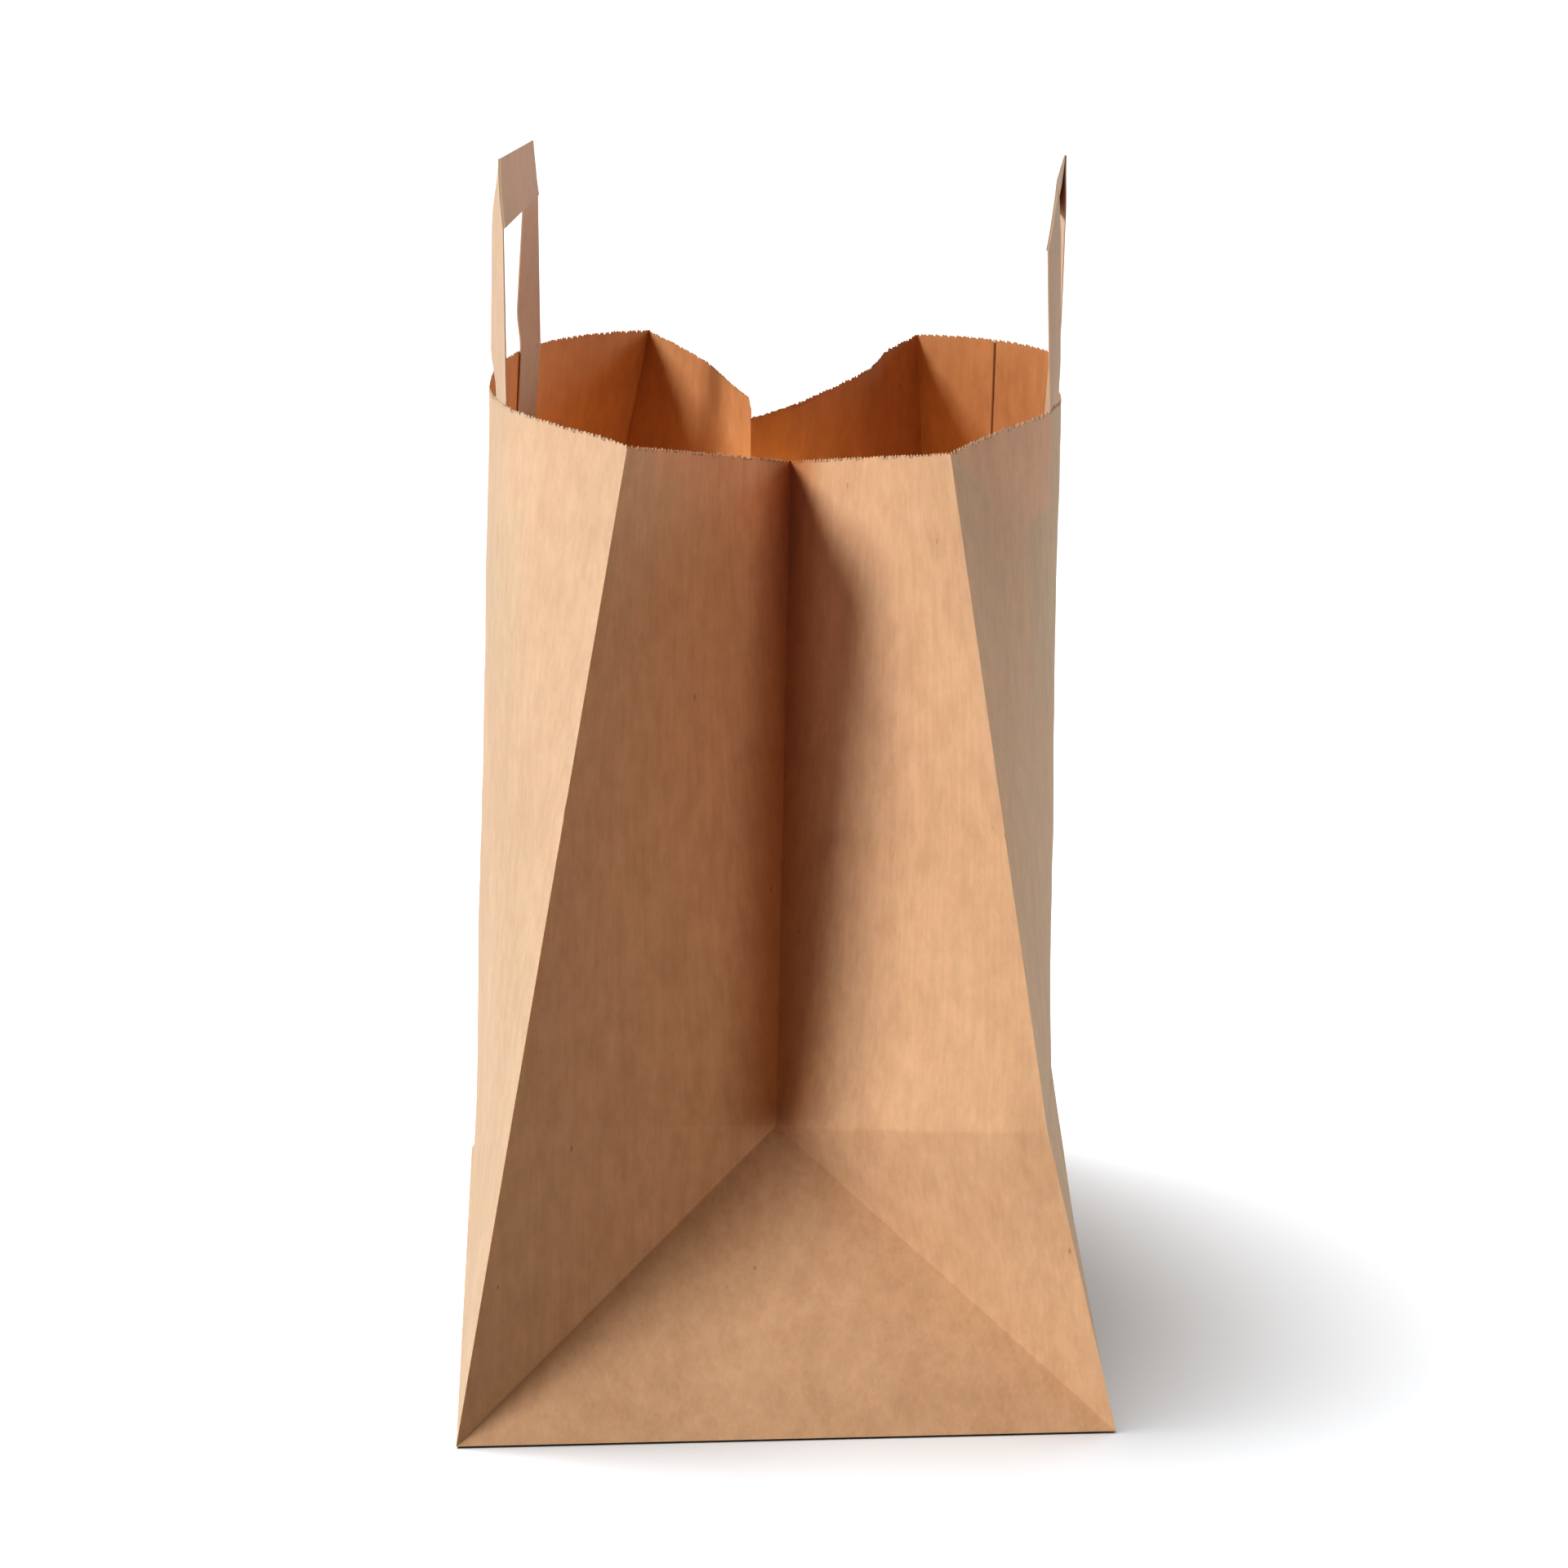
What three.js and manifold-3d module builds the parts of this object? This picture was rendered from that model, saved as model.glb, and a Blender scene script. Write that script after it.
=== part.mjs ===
import * as THREE from 'three';
import { mergeVertices } from 'three/addons/utils/BufferGeometryUtils.js';
import Module from 'manifold-3d';

// A block-bottom kraft paper carrier bag with two flat paper handles, standing open and empty.
// Lengths are in millimetres. The origin is the centre of the base, on the surface it stands on.
// +X points to the back panel, which has the packing crease, +Y runs along the wide panels, +Z is up.

// The sheet as it lies flat
const gussetWidth = 170;
const panelWidth = 250;
const bagHeight = 261;
const sheetThickness = 0.3;
const glueGap = 0.3;

// How the near end (towards -Y) and the far end stand open.
// Leans are measured in from the base edge along X, insets in from the base edge along Y.
const nearEnd = {
  side: -1,
  foldInset: 50.5,
  frontTop: { lean: 47.5, inset: 15 },
  backTop: { lean: 43, inset: 10 },
  backCrease: { lean: 18.5, inset: 0.5 },
};
const farEnd = {
  side: 1,
  foldInset: 51.5,
  frontTop: { lean: 58, inset: 2.5 },
  backTop: { lean: 33.5, inset: 16 },
  backCrease: { lean: 24, inset: 2 },
};

// Lean of each wide panel's rim where the handle legs hold it, and midway between them
const frontRim = { nearLeg: 18.7, middle: 12.5, farLeg: 23.2 };
const backRim = { nearLeg: 12, middle: 4.4, farLeg: 0 };
const rimDip = 1.7;

// The worn packing crease across the back panel
const creaseMiddleLean = 9.5;
const creaseTakeUp = 1.4;

// The front panel bends in just above its foot, all the way from its near third to the far corner
const footLean = 3.2;
const footBend = 8;
const footLeanStart = 0.35;

// Underside: two trapezoid flaps glued over each other along the middle
const flapOverlap = 10;
const flapEdgeSetIn = 0.2;

// Saw-toothed rim
const toothHeight = 0.5;
const toothPitch = 1.5;

// Handles: one folded strip each
const stripWidth = 16.5;
const handleSpan = 119;
const handleShift = -3;
const legDepth = 62;
const foldRollRadius = 0.4;

// How each leg stands: the rise of its mitre fold above the rim, how far out it leans on the way up,
// and how far the grip draws the top of the fold in again
const frontHandle = {
  near: { rise: 44.5, lean: 0, draw: 1.7 },
  far: { rise: 42, lean: 0, draw: 4.2 },
};
const backHandle = {
  near: { rise: 41, lean: -0.8, draw: -0.4 },
  far: { rise: 40.5, lean: 1.4, draw: -0.4 },
};

// Patches glued over the leg ends
const patchLength = 160;
const patchHeight = 50;
const patchDrop = 26;
const legBumpRun = 4;

// Grid of the folded sheet, and fineness of the smaller pieces
const cellsPerPanel = 20;
const cellsPerHalfGusset = 4;
const rowsAboveCrease = 8;
const rowsPerLeg = 3;
const rowsPerPatch = 4;
const sidesPerRoll = 8;

const halfGusset = gussetWidth / 2;
const halfPanel = panelWidth / 2;
const upperHeight = bagHeight - halfGusset;
const baseRise = 2 * sheetThickness;

function blend(a, b, share) {
  return a.clone().lerp(b, share);
}

function footPoint(xSide, y) {
  return new THREE.Vector3(xSide * halfGusset, y, baseRise);
}

// A point reached from a foot by a straight run of paper of a given length, up to a known place in plan
function reachUp(foot, x, y, paperLength) {
  const run = Math.hypot(x - foot.x, y - foot.y);
  return new THREE.Vector3(x, y, foot.z + Math.sqrt(paperLength ** 2 - run ** 2));
}

// The point that lies at three known distances from three points, on the side towards the bag's middle
function meetThree(a, b, c, toA, toB, toC, towards) {
  const ex = b.clone().sub(a).normalize();
  const ac = c.clone().sub(a);
  const i = ex.dot(ac);
  const ey = ac.clone().addScaledVector(ex, -i).normalize();
  const ez = new THREE.Vector3().crossVectors(ex, ey);
  const d = a.distanceTo(b);
  const j = ey.dot(ac);
  const x = (toA ** 2 - toB ** 2 + d ** 2) / (2 * d);
  const y = (toA ** 2 - toC ** 2 + i ** 2 + j ** 2) / (2 * j) - (i / j) * x;
  const z = Math.sqrt(Math.max(toA ** 2 - x ** 2 - y ** 2, 0));
  const middle = a.clone().addScaledVector(ex, x).addScaledVector(ey, y);
  const rise = ez.dot(towards) < 0 ? -z : z;
  return middle.addScaledVector(ez, rise);
}

// The corner points of one gusseted end
function endCorners(end) {
  const edgeY = end.side * halfPanel;
  const at = (xSide, place) => [
    xSide * (halfGusset - place.lean),
    end.side * (halfPanel - place.inset),
  ];
  const frontFoot = footPoint(-1, edgeY);
  const backFoot = footPoint(1, edgeY);
  const frontTop = reachUp(frontFoot, ...at(-1, end.frontTop), bagHeight);
  const backCrease = reachUp(backFoot, ...at(1, end.backCrease), halfGusset);
  backCrease.z -= creaseTakeUp;
  const backTop = reachUp(backCrease, ...at(1, end.backTop), upperHeight);
  backTop.z -= creaseTakeUp;
  const apexFoot = new THREE.Vector3(0, edgeY, baseRise);
  const apex = reachUp(apexFoot, 0, end.side * (halfPanel - end.foldInset), halfGusset);
  const inward = new THREE.Vector3(0, -end.side, 0);
  const foldTop = meetThree(frontTop, backTop, apex, halfGusset, halfGusset, upperHeight, inward);
  return { frontFoot, backFoot, frontTop, backCrease, backTop, apex, foldTop };
}

const near = { ...nearEnd, ...endCorners(nearEnd) };
const far = { ...farEnd, ...endCorners(farEnd) };
const legReach = handleSpan / 2;

// Plan curve through a panel's rim corners and the places that its handle holds
function rimPlan(xSide, nearTop, farTop, leans) {
  const held = [
    [leans.nearLeg, handleShift - legReach],
    [leans.middle, handleShift],
    [leans.farLeg, handleShift + legReach],
  ];
  const points = [
    new THREE.Vector3(nearTop.x, nearTop.y, 0),
    ...held.map(([lean, y]) => new THREE.Vector3(xSide * (halfGusset - lean), y, 0)),
    new THREE.Vector3(farTop.x, farTop.y, 0),
  ];
  return new THREE.CatmullRomCurve3(points, false, 'centripetal');
}

// Plan curve of the packing crease, bowed out at its middle
function creaseCurve() {
  const start = new THREE.Vector3(near.backCrease.x, near.backCrease.y, 0);
  const end = new THREE.Vector3(far.backCrease.x, far.backCrease.y, 0);
  const bow = 2 * (halfGusset - creaseMiddleLean) - (start.x + end.x) / 2;
  return new THREE.QuadraticBezierCurve3(start, new THREE.Vector3(bow, 0, 0), end);
}

const frontPlan = rimPlan(-1, near.frontTop, far.frontTop, frontRim);
const backPlan = rimPlan(1, near.backTop, far.backTop, backRim);
const creasePlan = creaseCurve();

// Points of the wide panels. share runs from 0 at the near corner to 1 at the far one,
// and height is measured up along the paper.
function rimTop(from, plan, paperLength, share) {
  const top = reachUp(from, plan.x, plan.y, paperLength);
  top.z -= rimDip * Math.sin(Math.PI * share) ** 2;
  return top;
}

function frontPoint(share, height) {
  const foot = footPoint(-1, (share - 0.5) * panelWidth);
  const top = rimTop(foot, frontPlan.getPointAt(share), bagHeight, share);
  const here = blend(foot, top, height / bagHeight);
  const lean = footLean * THREE.MathUtils.smoothstep(share, 0, footLeanStart);
  here.x += lean * (1 - height / bagHeight) * (1 - Math.exp(-height / footBend));
  return here;
}

function backPoint(share, height) {
  const foot = footPoint(1, (share - 0.5) * panelWidth);
  const creaseAt = creasePlan.getPoint(share);
  const crease = reachUp(foot, creaseAt.x, creaseAt.y, halfGusset);
  crease.z -= creaseTakeUp;
  if (height <= halfGusset) return blend(foot, crease, height / halfGusset);
  const top = rimTop(crease, backPlan.getPointAt(share), upperHeight, share);
  top.z -= creaseTakeUp;
  return blend(crease, top, (height - halfGusset) / upperHeight);
}

// A point of a gusset. across runs from -halfGusset at the front corner to +halfGusset at the back one.
function gussetPoint(end, across, height) {
  const front = frontPoint(end.side < 0 ? 0 : 1, height);
  const upperShare = (height - halfGusset) / upperHeight;
  const lowerShare = height / halfGusset;
  const back = height < halfGusset
    ? blend(end.backFoot, end.backCrease, lowerShare)
    : blend(end.backCrease, end.backTop, upperShare);
  if (height >= halfGusset) {
    const fold = blend(end.apex, end.foldTop, upperShare);
    if (across < 0) return blend(front, fold, 1 + across / halfGusset);
    return blend(fold, back, across / halfGusset);
  }
  const reach = halfGusset - height;
  const frontFold = blend(end.frontFoot, end.apex, lowerShare);
  const backFold = blend(end.backFoot, end.apex, lowerShare);
  if (across < -reach) return blend(front, frontFold, (across + halfGusset) / height);
  if (across > reach) return blend(backFold, back, (across - reach) / height);
  return blend(frontFold, backFold, (across + reach) / (2 * reach));
}

// The four panels in order round the bag, anticlockwise from above, each as a function of 0..1 and height
const panels = [
  {
    width: gussetWidth,
    cells: 2 * cellsPerHalfGusset,
    point: (share, height) => gussetPoint(near, (2 * share - 1) * halfGusset, height),
  },
  { width: panelWidth, cells: cellsPerPanel, point: backPoint },
  {
    width: gussetWidth,
    cells: 2 * cellsPerHalfGusset,
    point: (share, height) => gussetPoint(far, (1 - 2 * share) * halfGusset, height),
  },
  {
    width: panelWidth,
    cells: cellsPerPanel,
    point: (share, height) => frontPoint(1 - share, height),
  },
];

const columns = panels.flatMap((panel) =>
  Array.from({ length: panel.cells }, (_, cell) => ({ panel, cell })));

function rowHeights() {
  const lower = Array.from({ length: cellsPerHalfGusset }, (_, k) =>
    (k * halfGusset) / cellsPerHalfGusset);
  const upper = Array.from({ length: rowsAboveCrease }, (_, k) =>
    halfGusset + (k * upperHeight) / rowsAboveCrease);
  return [...lower, ...upper];
}

// Outer face of the folded sheet: rows of points, then the saw-toothed rim, then the bottom
function outerFace() {
  const heights = rowHeights();
  const points = [];
  const faces = [];
  for (const height of heights) {
    for (const { panel, cell } of columns) points.push(panel.point(cell / panel.cells, height));
  }
  const count = columns.length;
  for (let row = 0; row + 1 < heights.length; row += 1) {
    columns.forEach(({ panel, cell }, c) => {
      const a = row * count + c;
      const b = row * count + ((c + 1) % count);
      const rising = cell < panel.cells / 2;
      if (rising) faces.push([a, b, b + count], [a, b + count, a + count]);
      else faces.push([a, b, a + count], [b, b + count, a + count]);
    });
  }
  const rimStart = points.length;
  const cellStarts = [];
  for (const { panel, cell } of columns) {
    const steps = 2 * Math.max(1, Math.round(panel.width / panel.cells / toothPitch));
    cellStarts.push(points.length);
    for (let step = 0; step < steps; step += 1) {
      const height = bagHeight - (step % 2 === 0 ? toothHeight : 0);
      points.push(panel.point((cell + step / steps) / panel.cells, height));
    }
  }
  const rimCount = points.length - rimStart;
  const lastRow = (heights.length - 1) * count;
  cellStarts.forEach((start, c) => {
    const a = lastRow + c;
    const b = lastRow + ((c + 1) % count);
    const end = c + 1 < count ? cellStarts[c + 1] : points.length;
    const middle = (start + end) / 2;
    for (let left = start; left < end; left += 1) {
      const right = rimStart + ((left + 1 - rimStart) % rimCount);
      faces.push([left < middle ? a : b, right, left]);
    }
    faces.push([a, b, middle]);
  });
  const centre = points.length;
  points.push(new THREE.Vector3(0, 0, baseRise));
  for (let c = 0; c < count; c += 1) faces.push([(c + 1) % count, c, centre]);
  return { points, faces, rimStart, rimCount };
}

// The step from each point to the inner face, so that every flat part of the sheet has the same thickness
function inwardSteps(points, faces) {
  const sums = points.map(() => ({ m: new Array(6).fill(0), v: new THREE.Vector3() }));
  const triangle = new THREE.Triangle();
  const normal = new THREE.Vector3();
  for (const face of faces) {
    triangle.set(...face.map((k) => points[k]));
    triangle.getNormal(normal);
    for (let corner = 0; corner < 3; corner += 1) {
      const here = points[face[corner]];
      const one = points[face[(corner + 1) % 3]].clone().sub(here);
      const two = points[face[(corner + 2) % 3]].clone().sub(here);
      const weight = one.angleTo(two);
      const { m, v } = sums[face[corner]];
      const { x, y, z } = normal;
      [x * x, x * y, x * z, y * y, y * z, z * z].forEach((value, k) => { m[k] += weight * value; });
      v.addScaledVector(normal, weight);
    }
  }
  return sums.map(({ m, v }) => {
    const mean = v.clone().normalize();
    const hold = 0.02;
    const matrix = new THREE.Matrix3().set(
      m[0] + hold, m[1], m[2],
      m[1], m[3] + hold, m[4],
      m[2], m[4], m[5] + hold,
    );
    const step = v.clone().addScaledVector(mean, hold).applyMatrix3(matrix.invert());
    return step.multiplyScalar(-sheetThickness);
  });
}

function geometryFrom(points, faces) {
  const geometry = new THREE.BufferGeometry();
  const flat = points.flatMap((p) => [p.x, p.y, p.z]);
  geometry.setAttribute('position', new THREE.Float32BufferAttribute(flat, 3));
  geometry.setIndex(faces.flat());
  return geometry;
}

// Closes two matching grids of points, the first of them facing out, into one solid sheet
function closedSheet(outer, inner) {
  const rows = outer.length;
  const cols = outer[0].length;
  const points = [...outer.flat(), ...inner.flat()];
  const at = (row, col) => row * cols + col;
  const size = rows * cols;
  const faces = [];
  for (let r = 0; r + 1 < rows; r += 1) {
    for (let c = 0; c + 1 < cols; c += 1) {
      const corners = [at(r, c), at(r, c + 1), at(r + 1, c + 1), at(r + 1, c)];
      const [a, b, d, e] = corners;
      faces.push([a, b, d], [a, d, e]);
      faces.push([a + size, d + size, b + size], [a + size, e + size, d + size]);
    }
  }
  const border = [];
  for (let c = 0; c + 1 < cols; c += 1) border.push([at(0, c), at(0, c + 1)]);
  for (let r = 0; r + 1 < rows; r += 1) border.push([at(r, cols - 1), at(r + 1, cols - 1)]);
  for (let c = cols - 1; c > 0; c -= 1) border.push([at(rows - 1, c), at(rows - 1, c - 1)]);
  for (let r = rows - 1; r > 0; r -= 1) border.push([at(r, 0), at(r - 1, 0)]);
  for (const [a, b] of border) faces.push([a, a + size, b + size], [a, b + size, b]);
  return geometryFrom(points, faces);
}

const manifold = await Module();
manifold.setup();

function toSolid(geometry) {
  const bare = geometry.index ? geometry.clone() : geometry;
  for (const name of Object.keys(bare.attributes)) if (name !== 'position') bare.deleteAttribute(name);
  const merged = mergeVertices(bare, 1e-5);
  return new manifold.Manifold(new manifold.Mesh({
    numProp: 3,
    vertProperties: new Float32Array(merged.attributes.position.array),
    triVerts: new Uint32Array(merged.index.array),
  }));
}

function toGeometry(solid) {
  const mesh = solid.getMesh();
  const geometry = new THREE.BufferGeometry();
  geometry.setAttribute('position', new THREE.BufferAttribute(new Float32Array(mesh.vertProperties), 3));
  geometry.setIndex(new THREE.BufferAttribute(new Uint32Array(mesh.triVerts), 1));
  return geometry;
}

// The bag as one open shell of even thickness
function shellGeometry() {
  const { points, faces, rimStart, rimCount } = outerFace();
  const steps = inwardSteps(points, faces);
  const inner = points.map((p, k) => p.clone().add(steps[k]));
  const size = points.length;
  const all = [...faces, ...faces.map(([a, b, c]) => [a + size, c + size, b + size])];
  for (let k = 0; k < rimCount; k += 1) {
    const a = rimStart + k;
    const b = rimStart + ((k + 1) % rimCount);
    all.push([a, b, b + size], [a, b + size, a + size]);
  }
  return geometryFrom([...points, ...inner], all);
}

// A trapezoid flap of the underside, its long edge along a wide panel and its ends cut back at 45 degrees
function bottomFlap(xSide, bottom) {
  const outer = halfGusset - flapEdgeSetIn;
  const inner = -flapOverlap;
  const longHalf = halfPanel - flapEdgeSetIn;
  const shortHalf = longHalf - (outer - inner);
  const outline = new THREE.Shape([
    new THREE.Vector2(xSide * outer, -longHalf),
    new THREE.Vector2(xSide * outer, longHalf),
    new THREE.Vector2(xSide * inner, shortHalf),
    new THREE.Vector2(xSide * inner, -shortHalf),
  ]);
  const top = baseRise + sheetThickness / 2;
  const geometry = new THREE.ExtrudeGeometry(outline, { depth: top - bottom, bevelEnabled: false });
  geometry.translate(0, 0, bottom);
  return geometry;
}

function bagBody() {
  const body = toSolid(shellGeometry())
    .add(toSolid(bottomFlap(1, 0)))
    .add(toSolid(bottomFlap(-1, sheetThickness)));
  return toGeometry(body);
}

// The same panel as its flat cells make it, straight from one grid line to the next
function onCells(point) {
  return (share, height) => {
    const cell = THREE.MathUtils.clamp(Math.floor(share * cellsPerPanel), 0, cellsPerPanel - 1);
    const low = point(cell / cellsPerPanel, height);
    const high = point((cell + 1) / cellsPerPanel, height);
    return blend(low, high, share * cellsPerPanel - cell);
  };
}

// A point set in from a wide panel's outer face by a given depth. Above the rim it rises straight up.
function setIn(wide, share, height, depth) {
  const onPaper = Math.min(height, bagHeight);
  const probe = 0.5 / cellsPerPanel;
  const along = wide.point(share + probe, onPaper).sub(wide.point(share - probe, onPaper));
  const up = wide.point(share, bagHeight).sub(wide.point(share, halfGusset));
  const inward = new THREE.Vector3().crossVectors(up, along).setLength(wide.xSide * depth);
  const here = wide.point(share, onPaper).add(inward);
  here.z += height - onPaper;
  return here;
}

const shareOf = (distance) => 0.5 + distance / panelWidth;
const paperDepth = sheetThickness + glueGap;

// A closed sheet from its grid towards the panel and its grid towards the inside of the bag
function facingSheet(wide, outside, inside) {
  return wide.xSide > 0 ? closedSheet(outside, inside) : closedSheet(inside, outside);
}

// The given shares with the panel's own grid lines that lie between them and not close to one
function withGridLines(shares) {
  const clear = 0.15 / cellsPerPanel;
  const low = Math.min(...shares);
  const high = Math.max(...shares);
  const lines = Array.from({ length: cellsPerPanel + 1 }, (_, k) => k / cellsPerPanel)
    .filter((line) => line > low && line < high)
    .filter((line) => shares.every((share) => Math.abs(share - line) > clear));
  return [...shares, ...lines].sort((a, b) => a - b);
}

const evenRows = (low, high, count) =>
  Array.from({ length: count + 1 }, (_, k) => low + ((high - low) * k) / count);

// The two legs of a handle, each by the places of its outer and inner edges along the panel
const legs = [-1, 1].map((side) => ({
  end: side < 0 ? 'near' : 'far',
  outer: handleShift + side * legReach,
  inner: handleShift + side * (legReach - stripWidth),
}));

// A point of a leg's mitre fold, from 0 at the leg's outer edge to 1 at its inner edge
function foldPoint(wide, leg, across, depth) {
  const { rise, lean, draw } = wide.handle[leg.end];
  const place = leg.outer + (leg.inner - leg.outer) * across;
  const here = setIn(wide, shareOf(place), bagHeight + rise + stripWidth * across, depth);
  here.x += wide.xSide * (lean - draw * across);
  return here;
}

// One leg: glued inside the panel, upright above the rim and cut along the mitre fold
function legSheet(wide, leg) {
  const shares = withGridLines([shareOf(leg.outer), shareOf(leg.inner)]);
  const heights = evenRows(bagHeight - legDepth, bagHeight, rowsPerLeg);
  const acrossOf = (share) => Math.abs(share - shareOf(leg.outer)) * panelWidth / stripWidth;
  const grid = (depth) => {
    const [low, high] = [0, 1].map((across) => foldPoint(wide, leg, across, depth));
    return [
      ...heights.map((height) => shares.map((share) => setIn(wide, share, height, depth))),
      shares.map((share) => blend(low, high, acrossOf(share))),
    ];
  };
  return facingSheet(wide, grid(paperDepth), grid(paperDepth + sheetThickness));
}

// The grip: the flat stretch of the strip that runs from one mitre fold to the other, inside the legs
function gripSheet(wide) {
  const grid = (depth) => [0, 1].map((across) =>
    legs.map((leg) => foldPoint(wide, leg, across, depth)));
  return facingSheet(wide, grid(paperDepth + sheetThickness / 2), grid(paperDepth + 2 * sheetThickness));
}

// The rolled edge of the paper along a mitre fold
function foldRoll(wide, leg) {
  const [low, high] = [0, 1].map((across) =>
    foldPoint(wide, leg, across, paperDepth + sheetThickness));
  const run = high.clone().sub(low);
  const roll = new THREE.CylinderGeometry(foldRollRadius, foldRollRadius, run.length(), sidesPerRoll);
  const turn = new THREE.Quaternion().setFromUnitVectors(new THREE.Vector3(0, 1, 0), run.normalize());
  roll.applyQuaternion(turn);
  const middle = blend(low, high, 0.5);
  return roll.translate(middle.x, middle.y, middle.z);
}

function handle(wide) {
  const pieces = [
    gripSheet(wide),
    ...legs.map((leg) => legSheet(wide, leg)),
    ...legs.map((leg) => foldRoll(wide, leg)),
  ].map(toSolid);
  return toGeometry(pieces.reduce((whole, piece) => whole.add(piece)));
}

// How far the patch stands in from the panel: against the paper, or over a leg
function patchDepth(share) {
  const place = (share - 0.5) * panelWidth;
  const rise = sheetThickness + glueGap;
  const steps = legs.map(({ outer, inner }) => {
    const beside = Math.max(Math.min(outer, inner) - place, place - Math.max(outer, inner), 0);
    return THREE.MathUtils.clamp(1 - (beside - glueGap) / legBumpRun, 0, 1);
  });
  return paperDepth + rise * Math.max(...steps);
}

function patch(wide) {
  const reach = patchLength / 2;
  const bumps = legs.flatMap(({ outer, inner }) => {
    const low = Math.min(outer, inner) - glueGap;
    const high = Math.max(outer, inner) + glueGap;
    return [low - legBumpRun, low, high, high + legBumpRun];
  });
  const shares = withGridLines([handleShift - reach, ...bumps, handleShift + reach].map(shareOf));
  const top = bagHeight - patchDrop;
  const grid = (extra) => evenRows(top - patchHeight, top, rowsPerPatch).map((height) =>
    shares.map((share) => setIn(wide, share, height, patchDepth(share) + extra)));
  return facingSheet(wide, grid(0), grid(sheetThickness));
}

function paper(colour) {
  return new THREE.MeshStandardMaterial({ color: colour, roughness: 0.9, metalness: 0 });
}

const frontPanel = { xSide: -1, point: onCells(frontPoint), handle: frontHandle };
const backPanel = { xSide: 1, point: onCells(backPoint), handle: backHandle };

const bag = new THREE.Group();

function addPiece(name, geometry, colour) {
  const mesh = new THREE.Mesh(geometry, paper(colour));
  mesh.name = name;
  bag.add(mesh);
}

addPiece('bag_body', bagBody(), 0xc79a6b);
addPiece('handle_front', handle(frontPanel), 0xc9a27a);
addPiece('handle_back', handle(backPanel), 0xc9a27a);
addPiece('patch_front', patch(frontPanel), 0xbd8f60);
addPiece('patch_back', patch(backPanel), 0xbd8f60);

export default bag;
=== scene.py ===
import math

import bpy
import numpy as np
from mathutils import Matrix, Vector


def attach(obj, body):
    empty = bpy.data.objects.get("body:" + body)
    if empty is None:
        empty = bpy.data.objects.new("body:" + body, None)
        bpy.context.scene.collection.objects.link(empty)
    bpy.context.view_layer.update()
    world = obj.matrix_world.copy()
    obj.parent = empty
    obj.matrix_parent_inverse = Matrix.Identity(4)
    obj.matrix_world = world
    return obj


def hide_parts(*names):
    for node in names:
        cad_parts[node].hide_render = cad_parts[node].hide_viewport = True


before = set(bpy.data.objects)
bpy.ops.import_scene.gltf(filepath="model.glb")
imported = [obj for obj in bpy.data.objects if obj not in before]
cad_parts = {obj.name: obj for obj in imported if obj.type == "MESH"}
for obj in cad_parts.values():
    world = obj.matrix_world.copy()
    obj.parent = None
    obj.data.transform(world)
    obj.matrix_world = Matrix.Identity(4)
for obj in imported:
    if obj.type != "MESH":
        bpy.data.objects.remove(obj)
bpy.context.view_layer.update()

MM = 0.001

# Camera, fitted to the bag's corners in the photo. Its turn is yaw, pitch and roll in radians.

CAMERA_PLACE = (-0.05446, -1.21807, 0.43081)
CAMERA_TURN = (-0.0498, -0.2308, 0.0051)
CAMERA_LENS = 103.88
SENSOR_WIDTH = 36.0
CLIP_START, CLIP_END = 0.05, 60.0


def make_camera():
    data = bpy.data.cameras.new("photo_camera")
    data.sensor_fit = "HORIZONTAL"
    data.sensor_width = SENSOR_WIDTH
    data.lens = CAMERA_LENS
    data.clip_start = CLIP_START
    data.clip_end = CLIP_END
    camera = bpy.data.objects.new("photo_camera", data)
    bpy.context.scene.collection.objects.link(camera)
    yaw, pitch, roll = CAMERA_TURN
    turn = (Matrix.Rotation(yaw, 4, "Z") @ Matrix.Rotation(pitch, 4, "X")
            @ Matrix.Rotation(roll, 4, "Y") @ Matrix.Rotation(math.pi / 2, 4, "X"))
    camera.matrix_world = Matrix.Translation(CAMERA_PLACE) @ turn
    bpy.context.scene.camera = camera


make_camera()

# Sizes, in millimetres, as in the frame. HEIGHT is the length of paper from the foot to the rim.

GUSSET, PANEL, HEIGHT = 170.0, 250.0, 261.0
HALF_G, HALF_P = GUSSET / 2, PANEL / 2
UPPER = HEIGHT - HALF_G
BASE = 0.6
SHEET = 0.2
GLUE = 0.4

# The two ends. fold is how far in the lower end of the middle fold stands. The others are corners, as
# how far they lean in along X and stand in along Y: the front and back ones at the rim, and the crease's.
NEAR = dict(side=-1, fold=50.5, front=(47.5, 15.0), back=(43.0, 10.0), crease=(18.5, 0.5))
FAR = dict(side=1, fold=51.5, front=(58.0, 2.5), back=(33.5, 16.0), crease=(24.0, 2.0))

# How far each wide panel's rim leans in at the near leg, in the middle and at the far leg
FRONT_RIM = (18.7, 12.5, 23.2)
BACK_RIM = (12.0, 4.4, 0.0)
RIM_DIP = 1.7
CREASE_MIDDLE, CREASE_TAKE_UP = 9.5, 1.4

# The front panel bends in at its foot: how far, within what height, and in full from what share of its length
FOOT_LEAN, FOOT_BEND, FOOT_START = 3.2, 8.0, 0.35

# Handles: the strip's width, the span of the legs, the shift along Y and the length glued inside.
# Each leg's mitre fold has its rise above the rim, its lean outwards and its inner edge's draw inwards.
STRIP, SPAN, SHIFT, LEG_DEPTH = 16.5, 119.0, -3.0, 62.0
FRONT_HANDLE = {"near": (44.5, 0.0, 1.7), "far": (42.0, 0.0, 4.2)}
BACK_HANDLE = {"near": (41.0, -0.8, -0.4), "far": (40.5, 1.4, -0.4)}
LEGS = ((-1, "near"), (1, "far"))

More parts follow.
